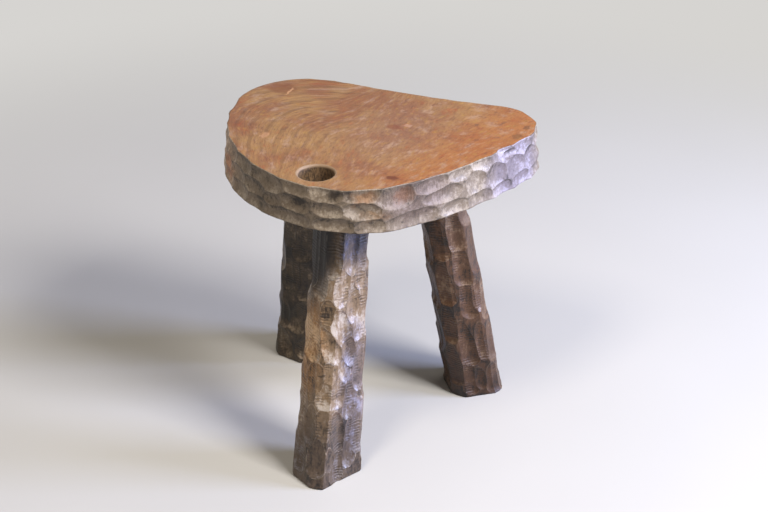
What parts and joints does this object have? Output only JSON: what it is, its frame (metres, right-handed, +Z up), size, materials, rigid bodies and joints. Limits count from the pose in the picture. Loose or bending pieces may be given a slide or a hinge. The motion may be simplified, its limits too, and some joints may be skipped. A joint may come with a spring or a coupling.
{
  "type": "stool",
  "caption": "Low hewn stool: a thick D-shaped wooden slab with a finger hole near its nose, on splayed gouged legs joined by blind wedged tenons.",
  "frame": {"origin": "on the floor, under the middle of the stool's bounding box", "axes": "+Z up from the floor to the sitting face; +Y from the nose to the back edge; +X along the back edge, from its large corner to its tighter corner"},
  "size_m": [0.2936, 0.2622, 0.3],
  "materials": {
    "seat_wood": "satin oiled sitting face over a weathered, gouged rim",
    "leg_wood": "dark waxed wood, rubbed lighter and glossier inside the gouge cuts",
    "wedge_wood": "bare split wood"
  },
  "bodies": {
    "root": {"seat": "seat_wood", "leg_front": "leg_wood", "leg_right": "leg_wood", "leg_left": "leg_wood", "wedge_front": "wedge_wood", "wedge_right": "wedge_wood", "wedge_left": "wedge_wood"}
  },
  "joints": []
}
